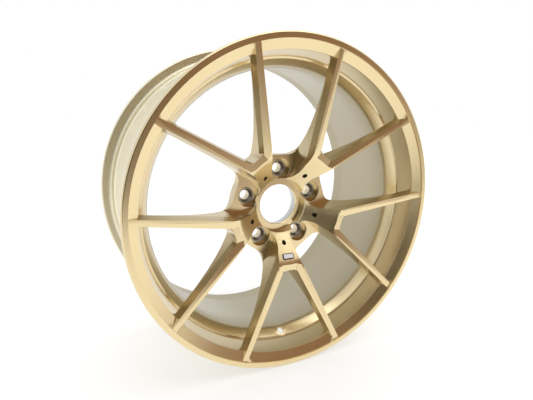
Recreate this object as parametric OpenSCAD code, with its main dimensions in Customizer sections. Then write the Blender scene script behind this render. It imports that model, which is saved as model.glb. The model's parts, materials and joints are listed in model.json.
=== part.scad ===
// Forged light-alloy racing wheel with five Y-shaped arms.
// The wheel stands upright: its axis is Y, the outboard face looks toward -Y, and up is +Z.
// The origin is on the axis, midway between the two rim flanges.

/* [Rim] */
// Diameter of the rim over the bead seats
rim_diameter = 482.6; // [430:0.1:580]
// Width of the rim between the flanges
rim_width = 228.6; // [190:0.1:275]
// Height of each flange above the bead seat
flange_height = 17.7; // [15:0.1:19]
// Thickness of each flange
flange_thickness = 11.35; // [10:0.05:13]
// Width of the sloping bead seat
bead_seat_width = 20; // [19:0.5:22]
// Height of the safety hump above the bead seat
hump_height = 1.2; // [0.8:0.1:1.6]
// Depth of the drop centre below the bead seat
well_depth = 21.5; // [20:0.5:26]
// Distance from the outboard lip to the bottom of the drop centre
well_start = 58; // [56:0.5:62]
// Width of the drop centre's floor
well_width = 28; // [20:0.5:36]
// Thickness of the barrel's wall
barrel_wall = 5.6; // [4.5:0.1:8]

/* [Face] */
// Width of the flat outboard lip
lip_width = 6.3; // [4:0.1:9]
// Depth of the step from the lip down to the pads between the spokes
pad_step = 3; // [1:0.1:5]
// Drop of a pad from its outer edge to its inner edge
pad_drop = 7; // [3:0.1:10]
// Thickness of metal behind the pads' inner edge
pad_wall = 5.1; // [4:0.1:8]
// Depth of the machined ridge that runs round inside the face
ridge_depth = 40; // [36:0.5:46]
// Height of the rim wall's inner surface below the bead seat at the ridge
ridge_inset = 15.3; // [12:0.1:18]

/* [Spokes] */
// Half width of a spoke's outboard face at the rim
spoke_tip_half = 4.4; // [3:0.1:5.5]
// Half width of a spoke's outboard face at the crotch
spoke_root_half = 6; // [4.5:0.1:7]
// Half width of a spoke's body, carried up to the outboard lip
spoke_body_half = 6.2; // [5.5:0.1:8]
// Draft of the flanks, in millimetres of width per millimetre of depth
spoke_draft = 0.11; // [0.05:0.01:0.16]
// Draft of the shoulders between a spoke's outboard face and its flanks
shoulder_draft = 0.28; // [0.2:0.01:0.4]
// Angle of the bevel that runs along the inside of each spoke's outboard face
bevel_angle = 9; // [5:0.5:12]
// Depth of the spokes' outboard face where they meet the rim
spoke_face_rim_depth = 2.6; // [1:0.1:6]
// Depth of the spokes' outboard face at the crotch of each Y
spoke_face_crotch_depth = 18; // [12:0.5:24]
// Radius at which each Y divides into its two spokes
crotch_radius = 100.9; // [98:0.1:108]
// Angle from the middle of a Y to each spoke at the crotch
crotch_angle = 10.7; // [9.5:0.1:12]
// Angle from the middle of a Y to each spoke at the rim
spoke_tip_angle = 20.26; // [17:0.01:23]
// Depth of the spokes' inboard side where they meet the rim
spoke_back_rim_depth = 19; // [15:0.5:26]
// Half width of each Y's arm at the hub, at its outboard face
arm_half_width = 7.9; // [6:0.1:10]
// Depth of the flat ledge in each crotch below the spokes' outboard face
ledge_step = 2.4; // [1:0.1:3]
// Length of that ledge along the arm
ledge_length = 10; // [7:0.5:12]
// Half width of that ledge at its inner end
ledge_half = 13; // [11:0.1:14]

/* [Hub] */
// Offset of the mounting face outboard of the rim's middle
wheel_offset = 35; // [30:0.5:40]
// Radius of the flat mounting face
mounting_face_radius = 76; // [74:0.5:79]
// Radius of the hub between the arms
hub_radius = 83; // [81:0.5:86]
// Thickness of the hub from its outboard ring to the mounting face
hub_thickness = 23.7; // [20:0.1:27]
// Depth of the hub's dished recess above that ring
recess_depth = 12.7; // [8:0.1:16]
// Radius of the dished recess
recess_radius = 44; // [43:0.1:45]
// Radius of the bore through the outboard lip of the hub
hub_lip_radius = 33.3; // [30:0.1:35]
// Length of that lip along the axis
hub_lip_length = 5; // [3:0.1:8]
// Diameter of the centre bore that locates the wheel on the vehicle's hub
centre_bore = 72.6; // [70:0.1:74]
// Wall of the centring ring pressed into the hub
centring_ring_wall = 2.6; // [2:0.1:3.4]

/* [Wheel bolts] */
// Number of arms and of wheel bolts
arm_count = 5; // [5:1:5]
// Pitch circle diameter of the wheel bolts
bolt_circle = 120; // [118:0.1:124]
// Diameter of the holes for the wheel bolts
bolt_hole = 15.5; // [14.5:0.1:16.5]
// Diameter of the pockets that take the bolt heads
bolt_pocket = 34; // [31:0.1:34.5]
// Thickness of metal outboard of the pocket's floor, from the mounting face
pocket_floor = 20; // [17:0.1:21]
// Outside diameter of a pressed-in bolt seat
seat_diameter = 27; // [24:0.1:28.5]
// Height of a bolt seat
seat_height = 11; // [9:0.1:12]
// How far a bolt seat stands proud of the pocket's floor
seat_proud = 1.6; // [1:0.1:2.5]
// Width of the flat ring round the mouth of the seat's cone
seat_land = 1.5; // [1:0.1:2.5]
// Included angle of the seat's cone
cone_angle = 60; // [55:1:65]

/* [Small parts] */
// Distance from the axis to the small blind holes in the arms
root_hole_radius = 60; // [59:0.1:62]
// Diameter of those holes and of the plugs in them
root_hole = 7.2; // [6:0.1:8]
// Depth of the blind holes below the lowest edge of their mouths
root_hole_depth = 9; // [7:0.5:11]
// How far a plug lies below the lowest edge of its hole's mouth
plug_sink = 1; // [0.5:0.1:1.5]
// Length of a plug
plug_length = 7; // [5:0.1:7]
// Distance from the axis to the middle of the badge
badge_radius = 79; // [77:0.1:81]
// Width of the badge across the arm
badge_width = 19.5; // [16:0.1:20]
// Height of the badge along the arm
badge_height = 10; // [8:0.1:11]
// Thickness of the badge's plate
badge_thickness = 1.4; // [1:0.1:2]
// Thickness of the adhesive pad under the badge
adhesive_thickness = 0.4; // [0.2:0.1:0.8]
// Diameter of the hole for the valve stem
valve_hole = 11.3; // [8.3:0.1:12]
// Diameter of the spot face round the valve hole
valve_spot_face = 19; // [16:0.5:20]
// Angle of the valve hole's axis from the wheel's axis
valve_tilt = 45; // [40:1:50]
// Thickness of the rim wall that the valve is clamped to
valve_wall = 4.5; // [3.5:0.1:6]

/* [Hidden] */

$fn = 96;
past = 1;
step_angle = 360 / arm_count;
first_arm = -90;
first_bolt = first_arm + step_angle / 2;

bead_radius = rim_diameter / 2;
flange_radius = bead_radius + flange_height;
overall_width = rim_width + 2 * flange_thickness;
lip_z = overall_width / 2;
bead_taper = 5;
flange_edge = 3;
bead_fillet = 6.5;
hump_run = 5;
seat_rise = bead_seat_width * tan(bead_taper);
hump_radius = bead_radius - seat_rise + hump_height;
well_radius = bead_radius - well_depth;
well_inner = well_radius - barrel_wall;
well_end = well_start + well_width;
pad_outer_radius = flange_radius - flange_edge - lip_width;
pad_inner_radius = bead_radius - pad_wall;
ridge_radius = bead_radius - ridge_inset;
ridge_height = 3;
ridge_width = 3;
ridge_undercut = 1;
rear_ring = 32;
rear_ring_radius = hump_radius - barrel_wall - 2.6;
rear_mouth_radius = bead_radius - 7.8;
groove = 1.4;

mount_depth = overall_width / 2 - wheel_offset;
ring_depth = mount_depth - hub_thickness;
bore_radius = centre_bore / 2;
ring_outer_radius = bore_radius + centring_ring_wall;
bolt_radius = bolt_circle / 2;
floor_depth = mount_depth - pocket_floor;
boss_depth = ring_depth - 7;
seat_top_depth = floor_depth - seat_proud;
cone_mouth = seat_diameter - 2 * seat_land;
cone_run = (cone_mouth - bolt_hole) / 2 / tan(cone_angle / 2);

spoke_start = crotch_radius * [cos(crotch_angle), sin(crotch_angle)];
spoke_tip_radius = flange_radius - 8.3;
spoke_end = spoke_tip_radius * [cos(spoke_tip_angle), sin(spoke_tip_angle)];
spoke_run = spoke_end - spoke_start;
spoke_normal = [-spoke_run[1], spoke_run[0]] / norm(spoke_run);
window_reach = flange_radius + 8;
recess_top_depth = ring_depth - recess_depth;
recess_top_radius = recess_radius + 2.4;
crotch_flat = crotch_radius - 0.9;
ledge_start = crotch_flat - ledge_length;
bend_radius = crotch_radius - 9;
back_bend_radius = crotch_radius + 4;
back_bend_depth = spoke_back_rim_depth + 8;

// Height above the rim's middle of a point at a given depth behind the outboard lip
function height(depth) = lip_z - depth;
function mix(a, b, share) = a + (b - a) * share;
function half_arm(depth) = arm_half_width + spoke_draft * depth;
function turned(p, a) = [p[0] * cos(a) - p[1] * sin(a), p[0] * sin(a) + p[1] * cos(a)];
function mirrored(p) = [p[0], -p[1]];
function reversed(list) = [for (i = [len(list) - 1 : -1 : 0]) list[i]];
function unit(v) = v / norm(v);
function arc(centre, r, from, to, steps) =
    [for (i = [0 : steps]) let (a = from + (to - from) * i / steps) centre + r * [cos(a), sin(a)]];
function bezier(p, q, r, steps) =
    [for (i = [0 : steps]) let (t = i / steps) (1 - t) * (1 - t) * p + 2 * t * (1 - t) * q + t * t * r];

// Rounds the corner at b, between a and c, with a curve that starts reach before the corner
function corner(a, b, c, reach, steps) =
    bezier(b + reach * unit(a - b), b, b + reach * unit(c - b), steps);

// Point beside a spoke's middle line: share is 0 at the crotch and 1 at the rim
function beside_spoke(share, offset) = spoke_start + share * spoke_run + offset * spoke_normal;
function spoke_half(depth) = spoke_body_half + spoke_draft * depth;

// Points where a spoke's flank crosses x or y at a given depth; side is 1 outside its Y and -1 inside
function flank_at_x(x, side, depth) =
    let (a = beside_spoke(0, side * spoke_half(depth)))
    a + spoke_run * (x - a[0]) / spoke_run[0];
function flank_at_y(y, side, depth) =
    let (a = beside_spoke(0, side * spoke_half(depth)))
    a + spoke_run * (y - a[1]) / spoke_run[1];

// Opening between the two spokes of one Y, with its middle along +X
function inner_window(depth) =
    let (start = flank_at_x(crotch_flat, -1, depth))
    let (far = flank_at_x(window_reach, -1, depth))
    let (half = max(start[1], 0.8))
    let (side = concat(corner([crotch_flat, 0], [crotch_flat, half], far, min(4, half * 0.9), 4), [far]))
    concat(reversed([for (p = side) mirrored(p)]), side);

// One side of the opening between two neighbouring Ys, which starts at x = inner_end
function outer_side(depth, inner_end, reach) =
    let (far = turned(flank_at_x(window_reach, 1, depth), -step_angle / 2))
    let (bend = turned(flank_at_y(half_arm(depth), 1, depth), -step_angle / 2))
    bend[0] > inner_end
        ? arm_side(far, bend, depth, inner_end, reach)
        : spoke_side(far, bend, inner_end, reach);

// That side where it runs along a spoke and then along an arm
function arm_side(far, bend, depth, inner_end, reach) =
    let (near = turned([0, half_arm(depth)], -step_angle / 2))
    let (root = mix(near, bend, (inner_end - near[0]) / (bend[0] - near[0])))
    concat([far], corner(far, bend, root, norm(bend - root) * 0.4, 4),
           corner(bend, root, [inner_end, 0], min(reach, norm(bend - root) * 0.5), 6));

// That side where it runs along a spoke only
function spoke_side(far, bend, inner_end, reach) =
    let (foot = mix(bend, far, (inner_end - bend[0]) / (far[0] - bend[0])))
    concat([far], corner(far, foot, [inner_end, 0], reach, 11));

function outer_window(depth, inner_end, reach) =
    let (side = outer_side(depth, inner_end, reach))
    concat(side, reversed([for (p = side) mirrored(p)]));

// Solid between two outlines of the same number of points, at two depths
module loft(top, bottom, top_depth, bottom_depth) {
    n = len(top);
    polyhedron(
        points = concat([for (p = bottom) [p[0], p[1], height(bottom_depth)]],
                        [for (p = top) [p[0], p[1], height(top_depth)]]),
        faces = concat([[for (i = [n - 1 : -1 : 0]) i]], [[for (i = [0 : n - 1]) n + i]],
                       [for (i = [0 : n - 1]) let (j = (i + 1) % n) [i, j, n + j]],
                       [for (i = [0 : n - 1]) let (j = (i + 1) % n) [i, n + j, n + i]]),
        convexity = 4);
}

module at_angles(first) {
    for (i = [0 : arm_count - 1]) rotate(first + step_angle * i) children();
}

// Lathe section of the rim, as [radius, depth] points
rim_section = concat(
    [[pad_outer_radius, pad_step], [pad_outer_radius, 0]],
    arc([flange_radius - flange_edge, flange_edge], flange_edge, -90, 0, 5),
    arc([flange_radius - flange_edge, flange_thickness - flange_edge], flange_edge, 0, 90, 5),
    arc([bead_radius + bead_fillet, flange_thickness + bead_fillet], bead_fillet, 270, 185, 6),
    [[bead_radius - seat_rise, flange_thickness + bead_seat_width],
     [hump_radius, flange_thickness + bead_seat_width + hump_run / 2],
     [hump_radius - hump_height, flange_thickness + bead_seat_width + hump_run],
     [well_radius, well_start],
     [well_radius, well_end],
     [hump_radius - hump_height - 2.5, overall_width - flange_thickness - bead_seat_width - hump_run - 2],
     [hump_radius, overall_width - flange_thickness - bead_seat_width - hump_run / 2],
     [bead_radius - seat_rise, overall_width - flange_thickness - bead_seat_width]],
    arc([bead_radius + bead_fillet, overall_width - flange_thickness - bead_fillet], bead_fillet, 175, 90, 6),
    arc([flange_radius - flange_edge, overall_width - flange_thickness + flange_edge],
        flange_edge, -90, 0, 5),
    arc([flange_radius - flange_edge, overall_width - flange_edge], flange_edge, 0, 90, 5),
    arc([rear_mouth_radius + 5, overall_width - 5], 5, 90, 180, 5),
    [[rear_ring_radius + groove, overall_width - rear_ring],
     [rear_ring_radius, overall_width - rear_ring - groove],
     [well_inner, well_end + 2],
     [well_inner, well_start + 5],
     [well_inner + 4, well_start - 4],
     [ridge_radius + ridge_undercut, ridge_depth + ridge_width],
     [ridge_radius, ridge_depth + ridge_width - ridge_undercut],
     [ridge_radius, ridge_depth],
     [ridge_radius + ridge_height, ridge_depth - ridge_undercut],
     [pad_inner_radius - 0.6, pad_step + pad_drop + 1.4],
     [pad_inner_radius, pad_step + pad_drop]]);

// Lathe section that holds the hub, the arms and the spokes, as [radius, depth] points
web_section = concat(
    [[hub_lip_radius, ring_depth + 1], [hub_lip_radius + 1, ring_depth], [recess_radius - 0.6, ring_depth],
     [recess_radius + 1.2, recess_top_depth + 0.8], [recess_top_radius, recess_top_depth]],
    corner([recess_top_radius, recess_top_depth], [bend_radius, spoke_face_crotch_depth],
           [spoke_tip_radius, spoke_face_rim_depth], 11, 6),
    [[spoke_tip_radius + 1, spoke_face_rim_depth], [spoke_tip_radius + 1, spoke_face_rim_depth + 4],
     [bead_radius - 2, spoke_face_rim_depth + 10], [bead_radius - 4, spoke_back_rim_depth]],
    bezier([ridge_radius + 9, spoke_back_rim_depth], [back_bend_radius, back_bend_depth],
           [mounting_face_radius + 2, mount_depth - 2], 9),
    [[mounting_face_radius, mount_depth], [ring_outer_radius, mount_depth],
     [ring_outer_radius, ring_depth + hub_lip_length], [hub_lip_radius, ring_depth + hub_lip_length]]);

module turned_ring(section) {
    rotate_extrude() polygon([for (p = section) [p[0], height(p[1])]]);
}

// Openings between the spokes, right through, and the scallops beside the arms above the bolt bosses
window_round = 16;
scallop_round = 13;
scallop_start = recess_radius + 2;
module window_cuts() {
    at_angles(first_arm)
        loft(inner_window(-past), inner_window(mount_depth + past), -past, mount_depth + past);
    at_angles(first_bolt)
        loft(outer_window(-past, hub_radius, window_round),
             outer_window(mount_depth + past, hub_radius, window_round), -past, mount_depth + past);
    at_angles(first_bolt)
        loft(outer_window(-past, scallop_start, scallop_round),
             outer_window(boss_depth, scallop_start, scallop_round), -past, boss_depth);
}

// Prism over an outline, with a sloping floor that holds the line between two points of the spokes'
// outboard face, from one at the crotch to one at the rim, and drops by fall for each millimetre to its right
module sloping_cut(outline, from, to, fall) {
    n = len(outline);
    along = unit(to - from);
    right = [along[1], -along[0]];
    rise = (spoke_face_rim_depth - spoke_face_crotch_depth) / norm(to - from);
    function floor_depth_at(p) = spoke_face_crotch_depth + rise * ((p - from) * along)
        + fall * ((p - from) * right);
    polyhedron(
        points = concat([for (p = outline) [p[0], p[1], height(floor_depth_at(p))]],
                        [for (p = outline) [p[0], p[1], height(-past)]]),
        faces = concat([[for (i = [0 : n - 1]) i]], [[for (i = [n - 1 : -1 : 0]) n + i]],
                       [for (i = [0 : n - 1]) let (j = (i + 1) % n) [j, i, n + i, n + j]]),
        convexity = 4);
}

// Flat bevel that runs from a spoke's outer edge at the crotch to its inner edge at the rim
bevel_from = beside_spoke(0, spoke_root_half * 0.6);
bevel_to = beside_spoke(1, -spoke_tip_half * 0.6);
bevel_lead = ledge_length + 4;
bevel_reach = 5;
module bevel_cut() {
    sloping_cut([
        bevel_from - bevel_lead * unit(bevel_to - bevel_from), [ledge_start, ledge_half],
        [crotch_flat, ledge_half * 0.88], flank_at_x(spoke_tip_radius, -1, spoke_back_rim_depth),
        bevel_to + bevel_reach * unit(bevel_to - bevel_from)], bevel_from, bevel_to, tan(bevel_angle));
}

// Steep shoulders beside the outboard face, outside each spoke and inside it, as wide as shoulder_reach,
// between two shares of the way from the crotch to the rim
shoulder_reach = 7;
shoulder_fade = -0.26;
shoulder_end = 1.04;
module outer_shoulder_cut() {
    mirror([0, 1, 0]) sloping_cut([for (p = [
        beside_spoke(shoulder_fade, spoke_root_half + shoulder_reach),
        beside_spoke(shoulder_end, spoke_tip_half + shoulder_reach),
        beside_spoke(shoulder_end, mix(spoke_root_half, spoke_tip_half, shoulder_end)),
        beside_spoke(shoulder_fade, mix(spoke_root_half, spoke_tip_half, shoulder_fade))]) mirrored(p)],
        mirrored(beside_spoke(0, spoke_root_half)), mirrored(beside_spoke(1, spoke_tip_half)),
        1 / shoulder_draft);
}

module inner_shoulder_cut() {
    start = (crotch_flat + 1.5 - beside_spoke(0, -spoke_root_half)[0]) / spoke_run[0];
    sloping_cut([
        beside_spoke(start, -spoke_root_half - shoulder_reach),
        beside_spoke(shoulder_end, -spoke_tip_half - shoulder_reach),
        beside_spoke(shoulder_end, -mix(spoke_root_half, spoke_tip_half, shoulder_end)),
        beside_spoke(start, -mix(spoke_root_half, spoke_tip_half, start))],
        beside_spoke(0, -spoke_root_half), beside_spoke(1, -spoke_tip_half), 1 / shoulder_draft);
}

module face_cuts() {
    at_angles(first_arm) for (side = [0, 1]) mirror([0, side, 0]) {
        bevel_cut();
        outer_shoulder_cut();
        inner_shoulder_cut();
    }
}

module bolt_hole_cuts() {
    at_angles(first_bolt) translate([bolt_radius, 0, 0]) {
        translate([0, 0, height(floor_depth)])
            cylinder(h = floor_depth - spoke_face_crotch_depth, d = bolt_pocket);
        translate([0, 0, height(seat_top_depth + seat_height)])
            cylinder(h = seat_height + past, d = seat_diameter);
        translate([0, 0, height(mount_depth + past)])
            cylinder(h = pocket_floor + 2 * past, d = bolt_hole);
    }
}

// Depth of the arm's sloping outboard face at a given radius
arm_slope = atan((recess_top_depth - spoke_face_crotch_depth) / (bend_radius - recess_top_radius));
function arm_face(radius) = recess_top_depth - tan(arm_slope) * (radius - recess_top_radius);
hole_mouth_depth = arm_face(root_hole_radius - root_hole / 2);
plug_top_depth = hole_mouth_depth + plug_sink;
hole_bottom_depth = hole_mouth_depth + root_hole_depth;

module arm_hole_cuts() {
    at_angles(first_arm) translate([root_hole_radius, 0, height(hole_bottom_depth)])
        cylinder(h = hole_bottom_depth - spoke_face_crotch_depth, d = root_hole);
}

// Flat ledge in the crotch of each Y, a little narrower at its outer end
ledge_depth = spoke_face_crotch_depth + ledge_step;
ledge_outline = [
    [ledge_start, -ledge_half], [crotch_flat + 3, -ledge_half * 0.9],
    [crotch_flat + 3, ledge_half * 0.9], [ledge_start, ledge_half]];
module ledge_cuts() {
    at_angles(first_arm) translate([0, 0, height(ledge_depth)])
        linear_extrude(ledge_depth + past) polygon(ledge_outline);
}

// The valve hole goes through the sloping wall between the outboard hump and the drop centre
function cross2(a, b) = a[0] * b[1] - a[1] * b[0];
valve_point = [ridge_radius - 4.5, ridge_depth + 7.5];
valve_dir = [sin(valve_tilt), cos(valve_tilt)];
slope_start = [hump_radius - hump_height, flange_thickness + bead_seat_width + hump_run];
slope_end = [well_radius, well_start];
valve_outer = cross2(slope_start - valve_point, slope_end - slope_start)
    / cross2(valve_dir, slope_end - slope_start);
valve_reach = 26;
module valve_cuts() {
    rotate(first_arm) translate([valve_point[0], 0, height(valve_point[1])])
        rotate([0, -valve_tilt, 0]) {
            translate([0, 0, -valve_reach / 2]) cylinder(h = valve_reach * 1.5, d = valve_hole);
            translate([0, 0, valve_wall - valve_outer]) cylinder(h = valve_reach, d = valve_spot_face);
        }
}

module upright() {
    rotate([90, 0, 0]) children();
}

module forged_wheel() {
    color("#c9a869") upright() difference() {
        union() {
            turned_ring(rim_section);
            difference() {
                turned_ring(web_section);
                window_cuts();
                face_cuts();
                ledge_cuts();
            }
        }
        bolt_hole_cuts();
        arm_hole_cuts();
        valve_cuts();
    }
}

// Bare aluminium ring that centres the wheel on the vehicle's hub
ring_chamfer = 0.8;
module hub_centring_ring() {
    color("#c8c9cb") upright() turned_ring([
        [bore_radius, ring_depth + hub_lip_length], [ring_outer_radius, ring_depth + hub_lip_length],
        [ring_outer_radius, mount_depth], [bore_radius + ring_chamfer, mount_depth],
        [bore_radius, mount_depth - ring_chamfer]]);
}

// Steel seat with the cone that a wheel bolt tightens on
seat_chamfer = 0.5;
module bolt_seat(i) {
    color("#8f8e8c") upright() rotate(first_bolt + step_angle * (i - 1)) translate([bolt_radius, 0, 0])
        turned_ring([
            [bolt_hole / 2, seat_top_depth + cone_run], [cone_mouth / 2, seat_top_depth],
            [seat_diameter / 2 - seat_chamfer, seat_top_depth],
            [seat_diameter / 2, seat_top_depth + seat_chamfer],
            [seat_diameter / 2, seat_top_depth + seat_height],
            [bolt_hole / 2, seat_top_depth + seat_height]]);
}

// Dark plug in the blind hole at the root of an arm
module arm_hole_plug(i) {
    color("#26231f") upright() rotate(first_arm + step_angle * (i - 1))
        translate([root_hole_radius, 0, 0]) turned_ring([
            [0, plug_top_depth + 1], [root_hole / 4, plug_top_depth + 1], [root_hole / 4, plug_top_depth],
            [root_hole / 2 - 0.4, plug_top_depth], [root_hole / 2, plug_top_depth + 0.4],
            [root_hole / 2, plug_top_depth + plug_length], [0, plug_top_depth + plug_length]]);
}

module on_badge_face() {
    upright() rotate(first_arm) translate([badge_radius, 0, height(arm_face(badge_radius))])
        rotate([0, -arm_slope, 0]) children();
}

module rounded_plate(length, width, thickness, r) {
    linear_extrude(thickness) union() {
        square([length - 2 * r, width], center = true);
        square([length, width - 2 * r], center = true);
        for (x = [-1, 1], y = [-1, 1]) translate([x * (length / 2 - r), y * (width / 2 - r)]) circle(r);
    }
}

badge_rim = 1.3;
badge_corner = 1.6;
module badge_adhesive_pad() {
    color("#3a3a38") on_badge_face()
        rounded_plate(badge_height - 0.8, badge_width - 0.8, adhesive_thickness, badge_corner - 0.4);
}

module badge_plate() {
    color("#17181a") on_badge_face() translate([0, 0, adhesive_thickness]) difference() {
        rounded_plate(badge_height, badge_width, badge_thickness, badge_corner);
        translate([0, 0, badge_thickness / 2]) rounded_plate(badge_height - 2 * badge_rim,
            badge_width - 2 * badge_rim, badge_thickness, badge_corner - badge_rim / 2);
    }
}

module badge_inlay() {
    color("#b9bcc0") on_badge_face() translate([0, 0, adhesive_thickness + badge_thickness / 2])
        rounded_plate(badge_height - 2 * badge_rim, badge_width - 2 * badge_rim, badge_thickness / 2,
            badge_corner - badge_rim / 2);
}

forged_wheel();
hub_centring_ring();
bolt_seat(1);  // bolt_seat_1
bolt_seat(2);  // bolt_seat_2
bolt_seat(3);  // bolt_seat_3
bolt_seat(4);  // bolt_seat_4
bolt_seat(5);  // bolt_seat_5
arm_hole_plug(1);  // arm_hole_plug_1
arm_hole_plug(2);  // arm_hole_plug_2
arm_hole_plug(3);  // arm_hole_plug_3
arm_hole_plug(4);  // arm_hole_plug_4
arm_hole_plug(5);  // arm_hole_plug_5
badge_adhesive_pad();
badge_plate();
badge_inlay();
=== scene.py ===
import json
import math

import bpy
from mathutils import Matrix, Vector


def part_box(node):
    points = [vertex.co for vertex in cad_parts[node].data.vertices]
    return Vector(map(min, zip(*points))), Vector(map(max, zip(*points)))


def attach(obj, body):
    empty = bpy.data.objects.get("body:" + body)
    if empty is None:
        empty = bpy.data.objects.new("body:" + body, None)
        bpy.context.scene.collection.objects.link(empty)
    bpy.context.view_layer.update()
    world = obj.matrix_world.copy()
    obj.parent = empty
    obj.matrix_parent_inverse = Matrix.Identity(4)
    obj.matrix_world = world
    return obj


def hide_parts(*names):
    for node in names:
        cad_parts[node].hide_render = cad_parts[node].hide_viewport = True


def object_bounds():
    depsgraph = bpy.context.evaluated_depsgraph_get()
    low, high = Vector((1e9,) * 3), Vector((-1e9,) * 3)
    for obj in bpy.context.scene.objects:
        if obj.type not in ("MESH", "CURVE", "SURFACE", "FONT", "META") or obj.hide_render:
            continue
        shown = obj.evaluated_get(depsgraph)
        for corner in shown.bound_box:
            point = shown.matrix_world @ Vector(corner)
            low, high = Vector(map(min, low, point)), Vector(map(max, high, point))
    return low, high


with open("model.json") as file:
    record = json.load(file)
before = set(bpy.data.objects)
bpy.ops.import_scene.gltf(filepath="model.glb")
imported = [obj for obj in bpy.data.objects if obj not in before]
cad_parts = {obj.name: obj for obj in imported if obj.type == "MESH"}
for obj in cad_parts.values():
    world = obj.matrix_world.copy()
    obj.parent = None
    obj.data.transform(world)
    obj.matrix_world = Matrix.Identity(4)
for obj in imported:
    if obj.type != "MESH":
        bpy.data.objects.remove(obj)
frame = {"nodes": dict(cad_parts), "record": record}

cad_box = [list(corner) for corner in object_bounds()]


# Camera. It stands close to the wheel, to its left and a little above its axis, with a wide lens,
# so the outboard face shows at a slant and the barrel can be seen through the spokes.
camera_place = (-0.3226, -0.6802, 0.1579)
camera_heading = math.radians(-25.99)
camera_tilt = math.radians(75.79)
camera_roll = math.radians(0.81)
camera_turn = (
    Matrix.Rotation(camera_heading, 4, "Z")
    @ Matrix.Rotation(camera_tilt, 4, "X")
    @ Matrix.Rotation(camera_roll, 4, "Z")
)
bpy.ops.object.camera_add(location=camera_place, rotation=camera_turn.to_euler())
camera = bpy.context.active_object
camera.name = "camera"
camera.data.sensor_width = 36
camera.data.lens = 29.21
camera.data.shift_x = -0.0018
camera.data.shift_y = 0.0287
camera.data.clip_start = 0.01
bpy.context.scene.camera = camera
bpy.context.scene.view_settings.view_transform = "Standard"


# Floor. The wheel stands on its two flanges on a plain white table top that runs far back behind it,
# and whose front edge is a little over a metre in front. A faint glow of its own keeps it white.
floor_top = cad_box[0][2]
floor_front = -1.15
floor_back = 9.0
floor_width = 16
floor_grey = 0.5
floor_glow = 0.55
bpy.ops.object.select_all(action="DESELECT")
bpy.ops.mesh.primitive_plane_add(size=1, location=(0, (floor_front + floor_back) / 2, floor_top))
floor = bpy.context.active_object
floor.name = "floor"
floor.scale = (floor_width, floor_back - floor_front, 1)
bpy.ops.object.transform_apply(location=True, rotation=True, scale=True)
floor_paint = bpy.data.materials.new("white_table_top")
floor_paint.use_nodes = True
floor_shader = floor_paint.node_tree.nodes["Principled BSDF"]
floor_shader.inputs["Base Color"].default_value = (floor_grey, floor_grey, floor_grey, 1)
floor_shader.inputs["Emission Color"].default_value = (1.0, 1.0, 1.0, 1)
floor_shader.inputs["Emission Strength"].default_value = floor_glow
floor_shader.inputs["Roughness"].default_value = 0.55
floor.data.materials.append(floor_paint)


# Studio light. A pale room glows all round, apart from two darker regions in front of the wheel, one high
# and one level with it, and a very wide overhead light evens out the table top. Seen straight, the room
# is plain white.
room_white = (0.95, 0.95, 0.94, 1)
dark_regions = [
    # Direction it lies in, how near to it the dark begins and is full, and its colour.
    ((0.35, -0.90, 0.34), 0.72, 0.93, (0.27, 0.16, 0.10, 1)),
    ((-0.42, -0.90, -0.02), 0.70, 0.93, (0.09, 0.075, 0.055, 1)),
]
room = bpy.data.worlds.new("studio_room")
bpy.context.scene.world = room
room.use_nodes = True
room_nodes = room.node_tree.nodes
room_links = room.node_tree.links
room_direction = room_nodes.new("ShaderNodeTexCoord")
room_colour = None
for direction, begins, full, colour in dark_regions:
    toward = room_nodes.new("ShaderNodeVectorMath")
    toward.operation = "DOT_PRODUCT"
    toward.inputs[1].default_value = Vector(direction).normalized()
    edge = room_nodes.new("ShaderNodeMapRange")
    edge.interpolation_type = "SMOOTHSTEP"
    edge.inputs["From Min"].default_value = begins
    edge.inputs["From Max"].default_value = full
    mixed = room_nodes.new("ShaderNodeMix")
    mixed.data_type = "RGBA"
    mixed.inputs["A"].default_value = room_white
    mixed.inputs["B"].default_value = colour
    room_links.new(room_direction.outputs["Generated"], toward.inputs[0])
    room_links.new(toward.outputs["Value"], edge.inputs["Value"])
    room_links.new(edge.outputs["Result"], mixed.inputs["Factor"])
    if room_colour is not None:
        room_links.new(room_colour, mixed.inputs["A"])
    room_colour = mixed.outputs["Result"]
seen_straight = room_nodes.new("ShaderNodeLightPath")
backdrop = room_nodes.new("ShaderNodeMix")
backdrop.data_type = "RGBA"
backdrop.inputs["B"].default_value = (1.0, 1.0, 1.0, 1)
room_links.new(room_colour, backdrop.inputs["A"])
room_links.new(seen_straight.outputs["Is Camera Ray"], backdrop.inputs["Factor"])
room_links.new(backdrop.outputs["Result"], room_nodes["Background"].inputs["Color"])

overhead_from = Vector((0.25, -0.15, 1.0))
bpy.ops.object.light_add(type="SUN", rotation=overhead_from.to_track_quat("Z", "Y").to_euler())
overhead = bpy.context.active_object
overhead.name = "overhead_light"
overhead.data.angle = math.radians(60)
overhead.data.energy = 0.7


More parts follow.
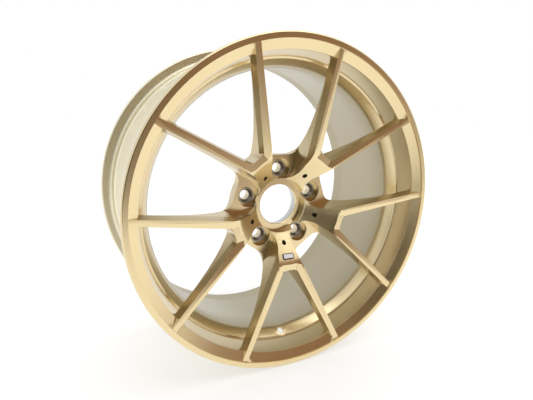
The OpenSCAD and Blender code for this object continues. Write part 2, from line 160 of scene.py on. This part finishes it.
# Forged wheel. One aluminium forging, turned inside and out and milled between its five Y-shaped arms,
# then lacquered a satin champagne gold that is thinner and greyer in the barrel than on the face.
# Its colour also holds painted shade on surfaces that don't face forward and inside the barrel,
# and painted light on the barrel's outside.
def finished_copy(node, name, edge_width, edge_angle, segments):
    """Copy of a CAD node whose sharp edges are broken with a small round."""
    bpy.ops.object.select_all(action="DESELECT")
    piece = bpy.data.objects.new(name, frame["nodes"][node].data.copy())
    piece.data.name = name
    bpy.context.collection.objects.link(piece)
    piece.select_set(True)
    bpy.context.view_layer.objects.active = piece
    # The shortest edge in the mesh limits the round, so slivers well under its width are merged first.
    sliver = edge_width / 8
    flat = math.radians(0.1)
    bpy.ops.object.mode_set(mode="EDIT")
    bpy.ops.mesh.select_all(action="SELECT")
    bpy.ops.mesh.remove_doubles(threshold=sliver)
    bpy.ops.mesh.dissolve_limited(angle_limit=flat)
    bpy.ops.object.mode_set(mode="OBJECT")
    bpy.ops.object.shade_smooth_by_angle(angle=edge_angle)
    rounding = piece.modifiers.new("broken_edges", "BEVEL")
    rounding.width = edge_width
    rounding.segments = segments
    rounding.angle_limit = edge_angle
    rounding.miter_outer = "MITER_ARC"
    rounding.harden_normals = True
    evening = piece.modifiers.new("even_shading", "WEIGHTED_NORMAL")
    evening.keep_sharp = True
    bpy.ops.object.modifier_apply(modifier=rounding.name)
    bpy.ops.object.modifier_apply(modifier=evening.name)
    piece.data.materials.clear()
    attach(piece, "root")
    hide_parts(node)
    return piece


def add(tree, kind, **settings):
    """New shader node of that kind, with its settings."""
    node = tree.nodes.new("ShaderNode" + kind)
    for key, value in settings.items():
        if not hasattr(node, key):
            raise ValueError(f"{kind} has no setting {key}")
        setattr(node, key, value)
    return node


def feed(tree, node, **sockets):
    """Sets the sockets of a node, each to a number, a colour or another node's output."""
    for key, value in sockets.items():
        socket = node.inputs[int(key[1:])] if key[0] == "i" and key[1:].isdigit() else node.inputs[key]
        if isinstance(value, bpy.types.NodeSocket):
            tree.links.new(value, socket)
        else:
            socket.default_value = value
    return node


def scaled(tree, value, factor, offset):
    """The value times the factor, plus the offset."""
    node = add(tree, "Math", operation="MULTIPLY_ADD")
    return feed(tree, node, i0=value, i1=factor, i2=offset).outputs["Value"]


def soft_step(tree, value, start, end):
    """Share that rises softly from 0 to 1 as the value goes from start to end."""
    step = feed(tree, add(tree, "MapRange", interpolation_type="SMOOTHSTEP"), Value=value)
    step.inputs["From Min"].default_value = start
    step.inputs["From Max"].default_value = end
    return step.outputs["Result"]


def blend(tree, share, first, second):
    """Colour that goes from the first to the second as the share goes from 0 to 1."""
    mix = add(tree, "Mix", data_type="RGBA")
    return feed(tree, mix, Factor=share, A=first, B=second).outputs["Result"]


def fine_relief(tree, shader, height, strength, distance):
    """Grain or tool marks too fine to model, laid over the shader's surface."""
    relief = feed(tree, add(tree, "Bump"), Height=height, Strength=strength, Distance=distance)
    tree.links.new(relief.outputs["Normal"], shader.inputs["Normal"])


def new_finish(name, colour, metallic, roughness):
    """Material with the shader's own colour, metal and roughness set, and its node tree and shader."""
    finish = bpy.data.materials.new(name)
    finish.use_nodes = True
    shader = finish.node_tree.nodes["Principled BSDF"]
    shader.inputs["Base Color"].default_value = (*colour, 1)
    shader.inputs["Metallic"].default_value = metallic
    shader.inputs["Roughness"].default_value = roughness
    return finish, finish.node_tree, shader


def satin_gold_lacquer():
    """Gold lacquer, thin and greyer over the turned barrel; its colour holds painted shade on surfaces that
    don't face forward and inside the barrel, and painted light outside the barrel.
    """
    face_gold = (0.88, 0.72, 0.42)
    # The side colour is painted shade: a darker gold for every surface that doesn't face forward.
    side_gold_painted_shade = (0.68, 0.57, 0.37)
    # Barrel colours: the champagne tone, darkened inside the barrel as painted shade and lightened outside
    # it as painted light.
    inner_champagne_painted_shade = (0.45, 0.40, 0.28)
    outer_champagne_painted_light = (0.92, 0.86, 0.66)
    barrel_starts = -0.074
    barrel_is_full = -0.060
    spoke_ends = 0.205
    face_roughness = 0.22
    barrel_roughness = 0.40
    finish, tree, shader = new_finish("satin_gold_lacquer", face_gold, 1.0, 0.24)
    shader.inputs["Coat Weight"].default_value = 0.35
    shader.inputs["Coat Roughness"].default_value = 0.12

    source = add(tree, "TexCoord")
    place = source.outputs["Object"]
    normal = source.outputs["Normal"]
    along_axis = feed(tree, add(tree, "SeparateXYZ"), Vector=place).outputs["Y"]
    across = feed(tree, add(tree, "VectorMath", operation="MULTIPLY"), i0=place, i1=(1, 0, 1))
    across = across.outputs["Vector"]
    radius = feed(tree, add(tree, "VectorMath", operation="LENGTH"), i0=across).outputs["Value"]
    outward = feed(tree, add(tree, "VectorMath", operation="NORMALIZE"), i0=across).outputs["Vector"]
    facing = feed(tree, add(tree, "VectorMath", operation="DOT_PRODUCT"), i0=outward, i1=normal)
    normal_y = feed(tree, add(tree, "SeparateXYZ"), Vector=normal).outputs["Y"]
    deep = soft_step(tree, along_axis, barrel_starts, barrel_is_full)
    outside = soft_step(tree, radius, spoke_ends - 0.01, spoke_ends)
    barrel = feed(tree, add(tree, "Math", operation="MULTIPLY"), i0=deep, i1=outside).outputs["Value"]

    # Painted shade: surfaces turned away from the front take the darker side colour.
    face_share = soft_step(tree, normal_y, -0.45, -0.70)
    # Painted shade inside the barrel and painted light on its outside, picked by whether the surface faces
    # outward.
    outer_share = soft_step(tree, facing.outputs["Value"], -0.2, 0.2)
    gold = blend(tree, face_share, (*side_gold_painted_shade, 1), (*face_gold, 1))
    champagne = blend(tree, outer_share, (*inner_champagne_painted_shade, 1), (*outer_champagne_painted_light, 1))
    # This colour holds the lacquer tone together with the painted shade and painted light set up above.
    lacquer = blend(tree, barrel, gold, champagne)
    cloud = feed(tree, add(tree, "TexNoise"), Vector=place, Scale=14.0, Detail=3.0).outputs["Fac"]
    tone = feed(tree, add(tree, "MapRange"), Value=cloud)
    tone.inputs["To Min"].default_value = 0.94
    tone.inputs["To Max"].default_value = 1.04
    clouded = feed(tree, add(tree, "HueSaturation"), Color=lacquer, Value=tone.outputs["Result"])
    tree.links.new(clouded.outputs["Color"], shader.inputs["Base Color"])

    matt = add(tree, "Mix", data_type="FLOAT")
    feed(tree, matt, Factor=barrel, A=face_roughness, B=barrel_roughness)
    tree.links.new(scaled(tree, cloud, 0.08, matt.outputs["Result"]), shader.inputs["Roughness"])

    rows = scaled(tree, along_axis, 2200.0, 0.0)
    turning = feed(tree, add(tree, "TexNoise", noise_dimensions="1D"), W=rows, Scale=1.0).outputs["Fac"]
    turned = feed(tree, add(tree, "Math", operation="MULTIPLY"), i0=turning, i1=barrel).outputs["Value"]
    grain = feed(tree, add(tree, "TexNoise"), Vector=place, Scale=1400.0, Detail=2.0).outputs["Fac"]
    fine_relief(tree, shader, scaled(tree, grain, 0.35, turned), 0.25, 0.00006)
    return finish


forging = finished_copy("forged_wheel", "wheel_forging", 0.0008, math.radians(34), 3)
forging.data.materials.append(satin_gold_lacquer())


# Hub centring ring. A bare aluminium ring, turned all over and pressed into the hub behind its gold lip,
# with two fine grooves in its bore and a chamfer where the vehicle's spigot enters.
def turned_piece(name, outline, axis_x, axis_z, steps, edge_width):
    """Closed solid spun from an outline of (radius, y) points about an axis along Y."""
    bpy.ops.object.select_all(action="DESELECT")
    first_radius, first_y = outline[0]
    # A tiny plane, merged to one point, is where the outline starts.
    bpy.ops.mesh.primitive_plane_add(size=0.0005, location=(axis_x + first_radius, first_y, axis_z))
    piece = bpy.context.active_object
    piece.name = name
    piece.data.name = name
    bpy.ops.object.transform_apply(location=True, rotation=True, scale=True)
    bpy.ops.object.mode_set(mode="EDIT")
    bpy.ops.mesh.select_all(action="SELECT")
    bpy.ops.mesh.merge(type="CENTER")
    for start, end in zip(outline, outline[1:]):
        step = (end[0] - start[0], end[1] - start[1], 0)
        bpy.ops.mesh.extrude_vertices_move(TRANSFORM_OT_translate={"value": step})
    bpy.ops.mesh.select_all(action="SELECT")
    bpy.ops.mesh.spin(steps=steps, angle=math.tau, center=(axis_x, 0, axis_z), axis=(0, 1, 0))
    bpy.ops.mesh.select_all(action="SELECT")
    bpy.ops.mesh.remove_doubles(threshold=1e-6)
    bpy.ops.mesh.normals_make_consistent(inside=False)
    bpy.ops.object.mode_set(mode="OBJECT")
    sharp = math.radians(24)
    bpy.ops.object.shade_smooth_by_angle(angle=sharp)
    rounding = piece.modifiers.new("broken_edges", "BEVEL")
    rounding.width = edge_width
    rounding.segments = 2
    rounding.angle_limit = sharp
    rounding.harden_normals = True
    bpy.ops.object.modifier_apply(modifier=rounding.name)
    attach(piece, "root")
    return piece


def turned_metal(name, colour, roughness, ring_scale):
    """Bare metal with fine turning marks that run round the axis of each piece."""
    finish, tree, shader = new_finish(name, colour, 1.0, roughness)
    place = add(tree, "TexCoord").outputs["Object"]
    along_axis = feed(tree, add(tree, "SeparateXYZ"), Vector=place).outputs["Y"]
    rows = scaled(tree, along_axis, ring_scale, 0.0)
    marks = feed(tree, add(tree, "TexNoise", noise_dimensions="1D"), W=rows, Scale=1.0).outputs["Fac"]
    cloud = feed(tree, add(tree, "TexNoise"), Vector=place, Scale=90.0, Detail=3.0).outputs["Fac"]
    tree.links.new(scaled(tree, cloud, 0.12, roughness - 0.06), shader.inputs["Roughness"])
    fine_relief(tree, shader, marks, 0.35, 0.00005)
    return finish


bore = frame["record"]["mounts"][0]["dims"]["r_mm"] / 1000
ring_low, ring_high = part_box("hub_centring_ring")
ring_radius = (ring_high.x - ring_low.x) / 2
ring_chamfer = 0.0008
ring_steps = 128
ring_edge = 0.00012
groove_depth = 0.0004
groove_width = 0.0008
groove_1 = ring_low.y + 0.0032
groove_2 = ring_low.y + 0.0062
groove_1_end = groove_1 + groove_width
groove_2_end = groove_2 + groove_width
groove_bottom = bore + groove_depth
centring_ring = turned_piece("centring_ring", [
    (bore, ring_low.y), (ring_radius, ring_low.y), (ring_radius, ring_high.y),
    (bore + ring_chamfer, ring_high.y), (bore, ring_high.y - ring_chamfer),
    (bore, groove_2_end), (groove_bottom, groove_2_end), (groove_bottom, groove_2), (bore, groove_2),
    (bore, groove_1_end), (groove_bottom, groove_1_end), (groove_bottom, groove_1), (bore, groove_1),
    (bore, ring_low.y),
], 0, 0, ring_steps, ring_edge)
bare_aluminium = turned_metal("bare_turned_aluminium", (0.60, 0.62, 0.62), 0.30, 5200.0)
centring_ring.data.materials.append(bare_aluminium)
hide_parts("hub_centring_ring")


# Bolt seats. Five steel bushes pressed into the bolt pockets, each with a rim that stands proud,
# a step inside it and the 60 degree cone that the wheel bolt tightens on.
hole = frame["record"]["mounts"][1]["dims"]["hole_r_mm"] / 1000
cone_mouth = 0.0114
cone_slope = math.tan(math.radians(30))
step_depth = 0.0009
step_radius = cone_mouth + 0.0007
seat_rear_chamfer = 0.0006
seat_front_chamfer = 0.0005
seat_steps = 64
seat_edge = 0.00015
seat_steel = turned_metal("bare_turned_steel", (0.50, 0.47, 0.42), 0.28, 6400.0)
for number in range(1, 6):
    node = f"bolt_seat_{number}"
    low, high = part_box(node)
    middle = (low + high) / 2
    seat_radius = (high.x - low.x) / 2
    cone_top = low.y + step_depth
    cone_bottom = cone_top + (cone_mouth - hole) / cone_slope
    seat = turned_piece(f"seat_bush_{number}", [
        (hole, high.y), (seat_radius - seat_rear_chamfer, high.y), (seat_radius, high.y - seat_rear_chamfer),
        (seat_radius, low.y + seat_front_chamfer), (seat_radius - seat_front_chamfer, low.y),
        (step_radius, low.y), (step_radius, cone_top), (cone_mouth, cone_top),
        (hole, cone_bottom), (hole, high.y),
    ], middle.x, middle.z, seat_steps, seat_edge)
    seat.data.materials.append(seat_steel)
    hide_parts(node)


# Arm hole plugs. Small matt black plastic caps pushed into the blind hole at the root of each arm,
# with a rounded shoulder and a socket in the middle.
plug_plastic, tree, shader = new_finish("matt_black_plastic", (0.022, 0.02, 0.018), 0.0, 0.55)
place = add(tree, "TexCoord").outputs["Object"]
stipple = feed(tree, add(tree, "TexNoise"), Vector=place, Scale=2600.0, Detail=2.0).outputs["Fac"]
fine_relief(tree, shader, stipple, 0.4, 0.00005)
socket_radius = 0.0018
socket_depth = 0.0012
plug_shoulder = 0.0004
plug_steps = 40
plug_edge = 0.00012
for number in range(1, 6):
    node = f"arm_hole_plug_{number}"
    low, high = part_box(node)
    middle = (low + high) / 2
    plug_radius = (high.x - low.x) / 2
    plug = turned_piece(f"arm_plug_{number}", [
        (0, high.y), (plug_radius, high.y), (plug_radius, low.y + plug_shoulder),
        (plug_radius - plug_shoulder, low.y), (socket_radius, low.y),
        (socket_radius, low.y + socket_depth), (0, low.y + socket_depth),
    ], middle.x, middle.z, plug_steps, plug_edge)
    plug.data.materials.append(plug_plastic)
    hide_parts(node)


# Badge. A small black anodised plate with a satin silver inlay, left plain,
# stuck to the arm that points down with a thin foam pad.
badge_angle = math.radians(30)

foam, tree, shader = new_finish("adhesive_foam", (0.02, 0.02, 0.02), 0.0, 0.9)
place = add(tree, "TexCoord").outputs["Object"]
cells = feed(tree, add(tree, "TexVoronoi"), Vector=place, Scale=3200.0).outputs["Distance"]
fine_relief(tree, shader, cells, 0.6, 0.0001)
pad = finished_copy("badge_adhesive_pad", "badge_foam_pad", 0.0001, badge_angle, 2)
pad.data.materials.append(foam)

black_plate, tree, shader = new_finish("black_anodised_plate", (0.012, 0.012, 0.014), 0.4, 0.30)
place = add(tree, "TexCoord").outputs["Object"]
film = feed(tree, add(tree, "TexNoise"), Vector=place, Scale=1800.0, Detail=2.0).outputs["Fac"]
tree.links.new(scaled(tree, film, 0.10, 0.24), shader.inputs["Roughness"])
plate = finished_copy("badge_plate", "badge_black_plate", 0.00025, badge_angle, 3)
plate.data.materials.append(black_plate)

silver, tree, shader = new_finish("satin_silver_inlay", (0.68, 0.68, 0.69), 1.0, 0.30)
place = add(tree, "TexCoord").outputs["Object"]
drawn_out = feed(tree, add(tree, "Mapping"), Vector=place, Scale=(60, 4000, 4000)).outputs["Vector"]
brushing = feed(tree, add(tree, "TexNoise"), Vector=drawn_out, Scale=1.0, Detail=2.0).outputs["Fac"]
fine_relief(tree, shader, brushing, 0.3, 0.00004)
inlay = finished_copy("badge_inlay", "badge_silver_inlay", 0.00012, badge_angle, 2)
inlay.data.materials.append(silver)
